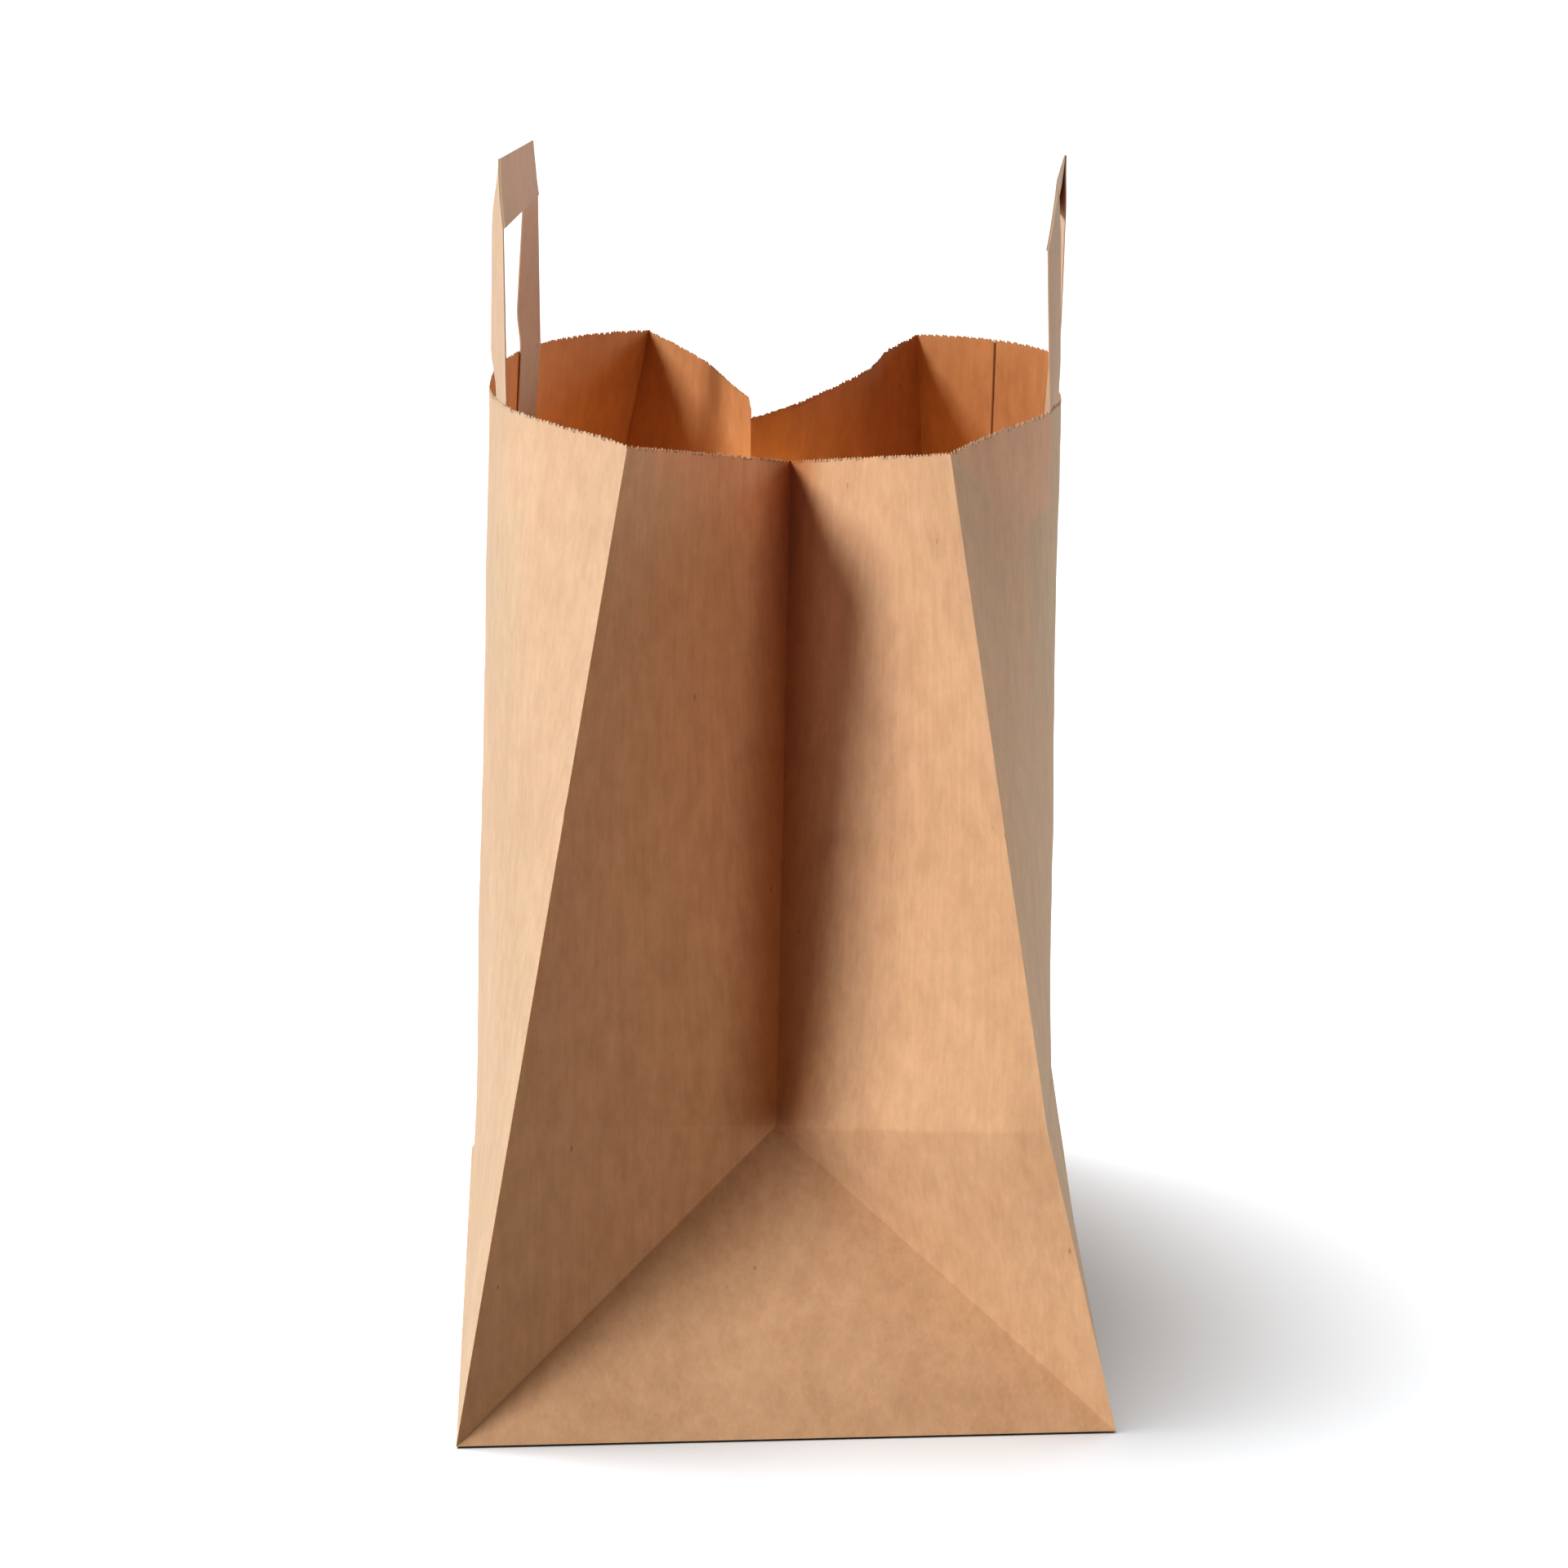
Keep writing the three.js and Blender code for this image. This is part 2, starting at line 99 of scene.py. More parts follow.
PATCH_LENGTH, PATCH_HEIGHT, PATCH_DROP = 160.0, 50.0, 26.0


def smooth(x, low, high):
    t = np.clip((np.asarray(x, float) - low) / (high - low), 0.0, 1.0)
    return t * t * (3.0 - 2.0 * t)


def unit(v):
    return v / np.maximum(np.linalg.norm(v, axis=-1, keepdims=True), 1e-12)


class Waves:
    """Soft random relief on a plane: sine waves with seeded lengths, directions and phases.

    low and high bound the waves' lengths, and stretch draws them out along the height.
    """

    FALL = 0.8

    def __init__(self, seed, count, low, high, stretch):
        rng = np.random.default_rng(seed)
        length = np.exp(rng.uniform(math.log(low), math.log(high), count))
        turn = rng.uniform(0, 2 * math.pi, count)
        self.kx = 2 * math.pi / length * np.cos(turn)
        self.ky = 2 * math.pi / length * np.sin(turn) / stretch
        self.phase = rng.uniform(0, 2 * math.pi, count)
        self.size = (length / high) ** self.FALL
        self.size /= math.sqrt((self.size ** 2).sum() / 2)

    def __call__(self, x, y):
        x, y = np.broadcast_arrays(np.asarray(x, float), np.asarray(y, float))
        total = np.zeros(x.shape)
        for kx, ky, phase, size in zip(self.kx, self.ky, self.phase, self.size):
            total += size * np.sin(kx * x + ky * y + phase)
        return total


# The folded sheet. Every panel keeps its lengths of paper, so its corners are where those lengths meet.

PLAN_POINTS = 61


def foot(x_side, y):
    y = np.asarray(y, float)
    return np.stack([np.full(y.shape, x_side * HALF_G), y, np.full(y.shape, BASE)], -1)


def reach_up(start, x, y, length):
    """The point above x, y that is this length of paper away from the start."""
    run2 = (x - start[..., 0]) ** 2 + (y - start[..., 1]) ** 2
    z = start[..., 2] + np.sqrt(length ** 2 - run2)
    return np.stack([np.broadcast_to(x, z.shape), np.broadcast_to(y, z.shape), z], -1)


def meet_three(a, b, c, to_a, to_b, to_c, towards):
    """The point at three given distances from a, b and c, on the side that towards points to."""
    ex = unit(b - a)
    ac = c - a
    i = ex @ ac
    ey = unit(ac - i * ex)
    ez = np.cross(ex, ey)
    d = np.linalg.norm(b - a)
    j = ey @ ac
    x = (to_a ** 2 - to_b ** 2 + d ** 2) / (2 * d)
    y = (to_a ** 2 - to_c ** 2 + i ** 2 + j ** 2) / (2 * j) - (i / j) * x
    z = math.sqrt(max(to_a ** 2 - x ** 2 - y ** 2, 0.0))
    return a + x * ex + y * ey + (-z if ez @ towards < 0 else z) * ez


def corners(end):
    """One end's corners: feet, packing crease, rim, and both ends of the gusset's middle fold."""
    side = end["side"]
    edge = side * HALF_P
    front_foot, back_foot = foot(-1, edge), foot(1, edge)

    def at(x_side, lean, inset):
        return x_side * (HALF_G - lean), side * (HALF_P - inset)

    front_top = reach_up(front_foot, *at(-1, *end["front"]), HEIGHT)
    crease = reach_up(back_foot, *at(1, *end["crease"]), HALF_G)
    crease[2] -= CREASE_TAKE_UP
    back_top = reach_up(crease, *at(1, *end["back"]), UPPER)
    back_top[2] -= CREASE_TAKE_UP
    apex = reach_up(np.array([0.0, edge, BASE]), 0.0, side * (HALF_P - end["fold"]), HALF_G)
    inwards = np.array([0.0, -side, 0.0])
    fold_top = meet_three(front_top, back_top, apex, HALF_G, HALF_G, UPPER, inwards)
    return dict(end, front_foot=front_foot, back_foot=back_foot, front_top=front_top, back_crease=crease,
                back_top=back_top, apex=apex, fold_top=fold_top)


near, far = corners(NEAR), corners(FAR)
ENDS = {"near": near, "far": far}


def curve_part(p0, p1, p2, p3):
    """Points from p1 to p2 on a smooth curve that passes through all four."""
    d0, d1, d2 = (math.sqrt(np.linalg.norm(q - p)) for p, q in ((p0, p1), (p1, p2), (p2, p3)))
    t1 = ((p1 - p0) / d0 - (p2 - p0) / (d0 + d1) + (p2 - p1) / d1) * d1
    t2 = ((p2 - p1) / d1 - (p3 - p1) / (d1 + d2) + (p3 - p2) / d2) * d1
    t = np.linspace(0, 1, PLAN_POINTS)[:, None]
    return p1 + t1 * t + (-3 * p1 + 3 * p2 - 2 * t1 - t2) * t ** 2 + (2 * p1 - 2 * p2 + t1 + t2) * t ** 3


def rim_plan(x_side, near_top, far_top, leans):
    """Table of the rim's plan curve: share of its length against x and y."""
    places = (SHIFT - SPAN / 2, SHIFT, SHIFT + SPAN / 2)
    middle = [np.array([x_side * (HALF_G - lean), y]) for lean, y in zip(leans, places)]
    points = [near_top[:2], *middle, far_top[:2]]
    line = []
    for k in range(len(points) - 1):
        p1, p2 = points[k], points[k + 1]
        p0 = points[k - 1] if k > 0 else 2 * p1 - p2
        p3 = points[k + 2] if k + 2 < len(points) else 2 * p2 - p1
        part = curve_part(p0, p1, p2, p3)
        line.append(part if k == 0 else part[1:])
    line = np.vstack(line)
    run = np.concatenate([[0], np.cumsum(np.linalg.norm(np.diff(line, axis=0), axis=1))])
    return run / run[-1], line


FRONT_PLAN = rim_plan(-1, near["front_top"], far["front_top"], FRONT_RIM)
BACK_PLAN = rim_plan(1, near["back_top"], far["back_top"], BACK_RIM)


def on_plan(plan, share):
    table, line = plan
    return np.interp(share, table, line[:, 0]), np.interp(share, table, line[:, 1])


def mix(a, b, t):
    return a + (b - a) * np.asarray(t, float)[..., None]


def front_point(share, height):
    share, height = np.broadcast_arrays(np.asarray(share, float), np.asarray(height, float))
    start = foot(-1, (share - 0.5) * PANEL)
    x, y = on_plan(FRONT_PLAN, share)
    top = reach_up(start, x, y, HEIGHT)
    top[..., 2] -= RIM_DIP * np.sin(math.pi * share) ** 2
    here = mix(start, top, height / HEIGHT)
    lean = FOOT_LEAN * smooth(share, 0, FOOT_START)
    here[..., 0] += lean * (1 - height / HEIGHT) * (1 - np.exp(-height / FOOT_BEND))
    return here


def crease_plan(share):
    """The packing crease in plan: a quadratic curve between its two ends."""
    a, c = near["back_crease"][:2], far["back_crease"][:2]
    b = np.array([2 * (HALF_G - CREASE_MIDDLE) - (a[0] + c[0]) / 2, 0.0])
    s = share[..., None]
    return (1 - s) ** 2 * a + 2 * s * (1 - s) * b + s ** 2 * c


def back_point(share, height):
    share, height = np.broadcast_arrays(np.asarray(share, float), np.asarray(height, float))
    start = foot(1, (share - 0.5) * PANEL)
    plan = crease_plan(share)
    crease = reach_up(start, plan[..., 0], plan[..., 1], HALF_G)
    crease[..., 2] -= CREASE_TAKE_UP
    x, y = on_plan(BACK_PLAN, share)
    top = reach_up(crease, x, y, UPPER)
    top[..., 2] -= RIM_DIP * np.sin(math.pi * share) ** 2 + CREASE_TAKE_UP
    low = mix(start, crease, height / HALF_G)
    high = mix(crease, top, (height - HALF_G) / UPPER)
    return np.where((height <= HALF_G)[..., None], low, high)


def gusset_point(end, across, height):
    """Point of a gusset: two halves above its apex, and three triangles below it."""
    across, height = np.broadcast_arrays(np.asarray(across, float), np.asarray(height, float))
    edge_share = np.full(height.shape, 0.0 if end["side"] < 0 else 1.0)
    front = front_point(edge_share, height)
    upper = np.clip((height - HALF_G) / UPPER, 0, None)
    lower = np.clip(height / HALF_G, 0, 1)
    back = np.where((height < HALF_G)[..., None], mix(end["back_foot"], end["back_crease"], lower),
                    mix(end["back_crease"], end["back_top"], upper))
    fold = mix(end["apex"], end["fold_top"], upper)
    high = np.where((across < 0)[..., None], mix(front, fold, 1 + across / HALF_G),
                    mix(fold, back, across / HALF_G))
    reach = HALF_G - height
    front_fold = mix(end["front_foot"], end["apex"], lower)
    back_fold = mix(end["back_foot"], end["apex"], lower)
    safe = np.maximum(height, 1e-6)
    left = mix(front, front_fold, np.clip((across + HALF_G) / safe, 0, 1))
    right = mix(back_fold, back, np.clip((across - reach) / safe, 0, 1))
    middle = mix(front_fold, back_fold, np.clip((across + reach) / np.maximum(2 * reach, 1e-6), 0, 1))
    low = np.where((across < -reach)[..., None], left,
                   np.where((across > reach)[..., None], right, middle))
    return np.where((height >= HALF_G)[..., None], high, low)


# Relief: how the real sheet departs from flat, in millimetres. A fade is a distance to a fold or an edge.

WIDE_WAVES = Waves(11, 26, 45.0, 160.0, 1.7)
FINE_WAVES = Waves(12, 40, 9.0, 34.0, 1.5)
GUSSET_WAVES = Waves(13, 26, 35.0, 120.0, 1.6)
WAVE_OFFSET = {"front": 0.0, "back": 400.0, "near": 900.0, "far": 1500.0}

PANEL_WAVE, PANEL_FINE = 0.42, 0.05
RIM_WAVE = 0.35
RIM_FADE = (-6, 30)
EDGE_FADE, FOOT_FADE = (0, 26), (0, 18)
PACKING_DEPTH, PACKING_WIDTH = 0.5, 1.1
SEAM_LAP, SEAM_STEP, SEAM_RUN = 35.5, 0.3, 0.8

GUSSET_WAVE, GUSSET_FINE = 0.32, 0.045
GUSSET_EDGE_FADE, GUSSET_FOLD_FADE = (0, 16), (0, 14)

# The far gusset near its rim: the right half's bow against its share of the width, and the left half's
FAR_BOW_AT = (0, 0.05, 0.1, 0.2, 0.37, 0.5, 0.6, 0.68, 0.76, 0.82, 0.9, 1)
FAR_BOW = (0, 2.4, 4, 5.7, 7, 7, 6.3, 4.2, 1.9, 0.7, 0.15, 0)
FAR_LEFT_BOW, FAR_LEFT_SHAPE = 2.8, 1.5
FAR_BOW_FADE = (0, 85)

# The cut rim: the step at the far gusset's fold, the drop to its right and the front panel's low stretch
RIM_SHIFT_DEPTH = 24
FAR_STEP, FAR_STEP_RUN = 4.6, 0.8
FAR_DROP, FAR_DROP_RUN = 1.0, 12
FRONT_DROP, FRONT_DROP_FROM, FRONT_DROP_TO = 0.9, (0.03, 0.12), (0.38, 0.5)

# The near gusset: a worn crease across both halves, and a ridge on the right half, which is highest at
# the packing crease's height
MIDDLE_CREASE, MIDDLE_CREASE_WIDTH = 161.0, 1.3
LEFT_CREASE = dict(depth=0.2, slope=-0.08)
RIGHT_CREASE = dict(depth=0.55, slope=0.02)
CREASE_FADE = (2, 14)
RIDGE_AT, RIDGE = (-40, 0, 26), (0, 2.6, 0)
RIDGE_EDGE_FADE, RIDGE_FOLD_FADE = (0, 12), (0, 10)


def groove(distance, width):
    """A worn fold: 1 on the line, fading out on both sides."""
    return np.exp(-(distance / width) ** 2)


def panel_relief(panel, share, height):
    y = (share - 0.5) * PANEL
    rim = smooth(HEIGHT - height, *RIM_FADE)
    edge = smooth(np.minimum(share, 1 - share) * PANEL, *EDGE_FADE) * smooth(height, *FOOT_FADE)
    place = y + WAVE_OFFSET[panel]
    waves = PANEL_WAVE * WIDE_WAVES(place, height) * (RIM_WAVE + (1 - RIM_WAVE) * rim)
    out = edge * (waves + PANEL_FINE * FINE_WAVES(place, height))
    if panel == "back":
        out = out - edge * PACKING_DEPTH * groove(height - HALF_G, PACKING_WIDTH)
        out = out + SEAM_STEP * smooth(y, HALF_P - SEAM_LAP, HALF_P - SEAM_LAP + SEAM_RUN)
    return out


def far_bulge(across, height):
    """The far gusset's halves bow near the rim: the right one in, the left one a little out."""
    right = np.interp(across / HALF_G, FAR_BOW_AT, FAR_BOW)
    left = -FAR_LEFT_BOW * np.sin(math.pi * np.clip(-across / HALF_G, 0, 1)) ** FAR_LEFT_SHAPE
    return -(right + left) * (1 - smooth(HEIGHT - height, *FAR_BOW_FADE))


def rim_shift(panel, place):
    """How far the cut rim stands above its even height."""
    if panel == "far":
        left = FAR_STEP * (1 + place / HALF_G) * np.tanh(-place / FAR_STEP_RUN)
        return np.where(place < 0, left, -FAR_DROP * (1 - smooth(place, 0, FAR_DROP_RUN)))
    if panel == "front":
        return -FRONT_DROP * smooth(place, *FRONT_DROP_FROM) * (1 - smooth(place, *FRONT_DROP_TO))
    return np.zeros_like(place)


def near_creases(across, height, near_edge, diagonal):
    """The height of the near gusset's ridge, and the depth of its worn crease."""
    right = across > 0
    depth = np.where(right, RIGHT_CREASE["depth"], LEFT_CREASE["depth"])
    slope = np.where(right, RIGHT_CREASE["slope"], LEFT_CREASE["slope"]) * across
    ridge = np.interp(height - HALF_G, RIDGE_AT, RIDGE) * right
    beside_fold = np.where(height >= HALF_G, 1.0, smooth(diagonal, *RIDGE_FOLD_FADE))
    ridge = ridge * smooth(near_edge, *RIDGE_EDGE_FADE) * beside_fold
    crease = depth * smooth(np.abs(across), *CREASE_FADE)
    return ridge, crease * groove(height - MIDDLE_CREASE - slope, MIDDLE_CREASE_WIDTH)


def gusset_relief(name, across, height):
    to_edge = HALF_G - np.abs(across)
    near_edge = np.minimum(np.abs(across), to_edge)
    diagonal = np.abs(to_edge - height) / math.sqrt(2)
    upper = height >= HALF_G
    low_edge = np.minimum(np.minimum(diagonal, to_edge), height)
    mask = np.where(upper, smooth(near_edge, *GUSSET_EDGE_FADE), smooth(low_edge, *GUSSET_FOLD_FADE))
    level = smooth(np.abs(height - HALF_G), *GUSSET_FOLD_FADE)
    place = across + WAVE_OFFSET[name]
    waves = GUSSET_WAVE * GUSSET_WAVES(place, height) + GUSSET_FINE * FINE_WAVES(place, height)
    out = mask * level * waves
    if name == "far":
        return out + far_bulge(across, height)
    ridge, crease = near_creases(across, height, near_edge, diagonal)
    return out + ridge - crease


# Mesh helpers

SHARP_ANGLE = 32
FLAT_HOLD = 0.03


def as_mesh(name, points, faces, smooth_faces=True):
    mesh = bpy.data.meshes.new(name)
    mesh.from_pydata((np.asarray(points) * MM).tolist(), [], [list(map(int, f)) for f in faces])
    mesh.update()
    if smooth_faces:
        mesh.polygons.foreach_set("use_smooth", [True] * len(mesh.polygons))
        mesh.set_sharp_from_angle(angle=math.radians(SHARP_ANGLE))
    piece = bpy.data.objects.new(name, mesh)
    bpy.context.scene.collection.objects.link(piece)
    return piece


def triangles(faces):
    """The faces as triangles, with each four-sided face cut in two."""
    cut = []
    for face in faces:
        cut.append(face[:3])
        if len(face) == 4:
            cut.append((face[0], face[2], face[3]))
    return np.array(cut)


def steps_inward(points, faces, thickness):
    """Step of each point to the other side of a sheet, mitred at the folds.

    FLAT_HOLD keeps the answer steady where all faces at a point lie in one plane.
    """
    tri = triangles(faces)
    a, b, c = (points[tri[:, k]] for k in range(3))
    normal = unit(np.cross(b - a, c - a))
    m = np.zeros((len(points), 3, 3))
    v = np.zeros((len(points), 3))
    for k in range(3):
        p, q, r = points[tri[:, k]], points[tri[:, (k + 1) % 3]], points[tri[:, (k + 2) % 3]]
        angle = np.arccos(np.clip((unit(q - p) * unit(r - p)).sum(1), -1, 1))[:, None]
        np.add.at(m, tri[:, k], angle[..., None] * normal[:, :, None] * normal[:, None, :])
        np.add.at(v, tri[:, k], angle * normal)
    m += FLAT_HOLD * np.eye(3)
    v = v + FLAT_HOLD * unit(v)
    return -thickness * np.linalg.solve(m, v[..., None])[..., 0]


def zip_rows(low, low_at, high, high_at):
    """Triangles between two rows of points that run side by side."""
    faces, i, j = [], 0, 0
    while i + 1 < len(low) or j + 1 < len(high):
        go_low = j + 1 >= len(high) or (i + 1 < len(low) and low_at[i + 1] <= high_at[j + 1])
        if go_low:
            faces.append((low[i], low[i + 1], high[j]))
            i += 1
        else:
            faces.append((low[i], high[j + 1], high[j]))
            j += 1
    return faces


# The bag. Its papers are numbered as in its list of materials.

WIDE_PAPER, GUSSET_PAPER, INSIDE_PAPER, CUT_PAPER = range(4)

# The grid is fine beside folds, and even from EVEN_FROM on. The teeth start TOOTH_ZONE below the rim.
FINE = (0.35, 0.9, 1.9, 3.4, 5.6)
EVEN_FROM = 8.5
HALF_STEP, WIDE_STEP, UPPER_STEP = 3.1, 3.2, 3.0
TOOTH_ZONE = 0.9

TOOTH, PITCH = 0.85, 1.6
TOOTH_SPREAD, TOOTH_SHIFT, TIP_WEAR, TOOTH_SEED = 0.5, 0.3, 0.14, 21

# A surface's direction comes from points this far to both sides. The sign makes it face out.
PROBE = 0.2
STEP_ALONG = {"near": PROBE, "far": -PROBE, "back": PROBE / PANEL, "front": -PROBE / PANEL}

# Painted shade along the near gusset's fold: how far from the fold it reaches, and the run over which it
# fades in at the apex.
SHADE_PAINT_REACH, SHADE_PAINT_START = 24.0, 6.0


def spaced(length, step):
    """Places from 0 to length, close together at both ends."""
    count = max(2, round((length - 2 * EVEN_FROM) / step)) + 1
    inner = np.linspace(EVEN_FROM, length - EVEN_FROM, count)
    return np.array([0.0, *FINE, *inner, *(length - d for d in FINE[::-1]), length])


def bag_grid():
    half = spaced(HALF_G, HALF_STEP)
    wide = spaced(PANEL, WIDE_STEP) / PANEL
    across = np.concatenate([half - HALF_G, half[1:]])
    upper = HALF_G + spaced(UPPER - TOOTH_ZONE, UPPER_STEP)
    heights = np.concatenate([half, upper[1:]])
    return across, wide, heights


def flat_point(panel, place, height):
    """Point of the folded sheet before its relief."""
    if panel in ENDS:
        return gusset_point(ENDS[panel], place, height)
    return back_point(place, height) if panel == "back" else front_point(place, height)


def surface(panel, place, height):
    """Points of the outer face. place is a share on a wide panel, or a distance across a gusset."""
    relief = gusset_relief if panel in ENDS else panel_relief
    bump = relief(panel, place, height)
    height = height + rim_shift(panel, place) * smooth(height, HEIGHT - RIM_SHIFT_DEPTH, HEIGHT)
    step = STEP_ALONG[panel]
    along = flat_point(panel, place + step, height) - flat_point(panel, place - step, height)
    up = flat_point(panel, place, height + PROBE) - flat_point(panel, place, height - PROBE)
    normal = unit(np.cross(along, up))
    return flat_point(panel, place, height) + normal * bump[..., None]


def ring():
    """The ring's parts in order: panel, places, running distances, width and paper."""
    across, wide, _ = bag_grid()
    return [("near", across, HALF_G + across, GUSSET, GUSSET_PAPER),
            ("back", wide, wide * PANEL, PANEL, WIDE_PAPER),
            ("far", -across, HALF_G + across, GUSSET, GUSSET_PAPER),
            ("front", 1 - wide, wide * PANEL, PANEL, WIDE_PAPER)]


def body_faces(parts, heights, first_column, cols):
    """Faces between the rows of the folded sheet, each with its paper.

    Below a gusset's apex they are triangles, cut along its slanted folds.
    """
    faces, kinds = [], []
    below = int((heights < HALF_G - 1e-6).sum())
    for (name, place, _, _, kind), first in zip(parts, first_column):
        cells = len(place) - 1
        for r in range(len(heights) - 1):
            for cell in range(cells):
                a = r * cols + first + cell
                b = r * cols + (first + cell + 1) % cols
                if name in ENDS and r < below:
                    rising = cell < cells // 2
                    pair = [(a, b, b + cols), (a, b + cols, a + cols)]
                    faces += pair if rising else [(a, b, a + cols), (b, b + cols, a + cols)]
                    kinds += [kind, kind]
                else:
                    faces.append((a, b, b + cols, a + cols))
                    kinds.append(kind)
    return faces, kinds


def tooth_row(name, place, width, rng):
    """One panel's share of the saw-toothed rim, each tooth a little different."""
    count = 2 * round(width / PITCH)
    steps = np.arange(count) / count
    tip = np.arange(count) % 2
    rough = rng.uniform(-1, 1, count)
    drop = np.where(tip == 1, TIP_WEAR * (rough + 1), TOOTH * (1 + TOOTH_SPREAD * rough))
    shift = TOOTH_SHIFT * rng.uniform(-1, 1, count) * tip / count
    return surface(name, place[0] + (place[-1] - place[0]) * (steps + shift), HEIGHT - drop), steps * width


def painted_fold_shade(points):
    """Painted shade: 1 along the near gusset's fold, where only light from the paper itself arrives, 0 away
    from it; the paper's colour is darkened towards a deep orange by it.
    """
    bottom, top = near["apex"], near["fold_top"]
    line = unit(top - bottom)
    run = (points - bottom) @ line
    away = np.linalg.norm(points - bottom - run[:, None] * line, axis=1)
    return (1 - smooth(away, 0.0, SHADE_PAINT_REACH)) * smooth(run, -SHADE_PAINT_START, SHADE_PAINT_START)


def make_bag(materials):
    """The folded sheet with its teeth, its bottom, its inner face and its cut edge."""
    heights = bag_grid()[2]
    parts = ring()
    blocks = [surface(name, *np.meshgrid(place[:-1], heights)) for name, place, _, _, _ in parts]
    first_column = np.concatenate([[0], np.cumsum([block.shape[1] for block in blocks])])
    cols = int(first_column[-1])
    faces, kinds = body_faces(parts, heights, first_column[:-1].tolist(), cols)
    points = np.concatenate(blocks, 1).reshape(-1, 3)
    last_row = (len(heights) - 1) * cols
    first_tooth = len(points)
    rng = np.random.default_rng(TOOTH_SEED)
    rows = [tooth_row(name, place, width, rng) for name, place, _, width, _ in parts]
    teeth = sum(len(row) for row, _ in rows)
    start = 0
    for (_, _, run, width, kind), (row, row_run), first in zip(parts, rows, first_column):
        low = [last_row + (int(first) + k) % cols for k in range(len(run))]
        high = [first_tooth + (start + k) % teeth for k in range(len(row) + 1)]
        new = zip_rows(low, run, high, [*row_run, width])
        faces += new
        kinds += [kind] * len(new)
        start += len(row)
    centre = first_tooth + teeth
    points = np.vstack([points, *(row for row, _ in rows), [[0.0, 0.0, BASE]]])
    faces += [((c + 1) % cols, c, centre) for c in range(cols)]
    kinds += [WIDE_PAPER] * cols
    inner = points + steps_inward(points, faces, SHEET)
    size = len(points)
    other = [tuple(k + size for k in reversed(face)) for face in faces]
    edge = [(first_tooth + k, first_tooth + (k + 1) % teeth, first_tooth + (k + 1) % teeth + size,
             first_tooth + k + size) for k in range(teeth)]
    piece = as_mesh("bag_shell", np.vstack([points, inner]), faces + other + edge)
    # Painted shade: a weight on each point that darkens the paper along the near gusset's fold, on both faces
    # of the sheet.
    shade_paint = piece.data.attributes.new("painted_fold_shade", "FLOAT", "POINT")
    shade_paint.data.foreach_set("value", np.tile(painted_fold_shade(points), 2))
    for material in materials:
        piece.data.materials.append(material)
    kinds += [INSIDE_PAPER] * len(other) + [CUT_PAPER] * len(edge)
    piece.data.polygons.foreach_set("material_index", kinds)
    return piece


# The two flaps under the bottom: the bottom and top of each, its clearance and its reach past the middle

BACK_FLAP, FRONT_FLAP = (0.02, 0.28), (0.3, 0.56)
FLAP_CLEAR, FLAP_LAP = 0.4, 10.0


def make_flap(x_side, bottom, top):
    outer, inner = HALF_G - FLAP_CLEAR, -FLAP_LAP
    long_half = HALF_P - FLAP_CLEAR
    short_half = long_half - (outer - inner)
    outline = [(outer, -long_half), (outer, long_half), (inner, short_half), (inner, -short_half)]
    points = [(x_side * x, y, z) for z in (bottom, top) for x, y in outline]
    turn = 1 if x_side > 0 else -1
    faces = [(3, 2, 1, 0)[::turn], (4, 5, 6, 7)[::turn]]
    faces += [(k, (k + 1) % 4, 4 + (k + 1) % 4, 4 + k)[::turn] for k in range(4)]
    return as_mesh("bottom_flap_" + ("back" if x_side > 0 else "front"), points, faces, False)


# Handles, patches and the painted shadow line at the seam

SHARE_PROBE = 0.02
HANDLE_SHEET, HANDLE_DEPTH = 0.35, SHEET + GLUE / 2
STRIP_POINTS, GLUED_ROWS, FREE_ROWS, GRIP_ROWS = 9, 12, 22, 33

# The legs' bow towards their inner edge, and the shares of their free length where it starts and ends
LEG_BOW = {"front": -1.5, "back": 0.5}
BOW_FROM, BOW_TO = (0, 0.2), (0.72, 1)

PATCH_SHEET, PATCH_GAP, PATCH_OVER_LEG, PATCH_SLOPE = 0.18, 0.15, 0.5, (0.3, 3.5)
PATCH_COLUMNS, PATCH_ROWS = 81, 21

# The painted shadow strip at the seam: its width, thickness, gap from the wall and rows, and how far above
# the foot and below the rim it ends.
SEAM_WIDTH, SEAM_SHEET, SEAM_GAP, SEAM_ROWS = 0.9, 0.06, 0.12, 90
SEAM_BOTTOM, SEAM_BELOW_RIM = 3.0, 1.2


def set_in(panel, share, height, depth):
    """Point set in from a wide panel's outer face; above the rim it rises straight up."""
    share, height = np.broadcast_arrays(np.asarray(share, float), np.asarray(height, float))
    on_paper = np.minimum(height, HEIGHT)
    at = front_point if panel == "front" else back_point
    x_side = -1 if panel == "front" else 1
    along = at(share + SHARE_PROBE, on_paper) - at(share - SHARE_PROBE, on_paper)
    up = at(share, np.full(share.shape, HEIGHT)) - at(share, np.full(share.shape, HALF_G))
    inward = unit(np.cross(up, along)) * x_side
    here = at(share, on_paper) + inward * np.asarray(depth, float)[..., None]
    bump = panel_relief(panel, share, on_paper)
    here = here - inward * bump[..., None]
    here[..., 2] += height - on_paper
    return here


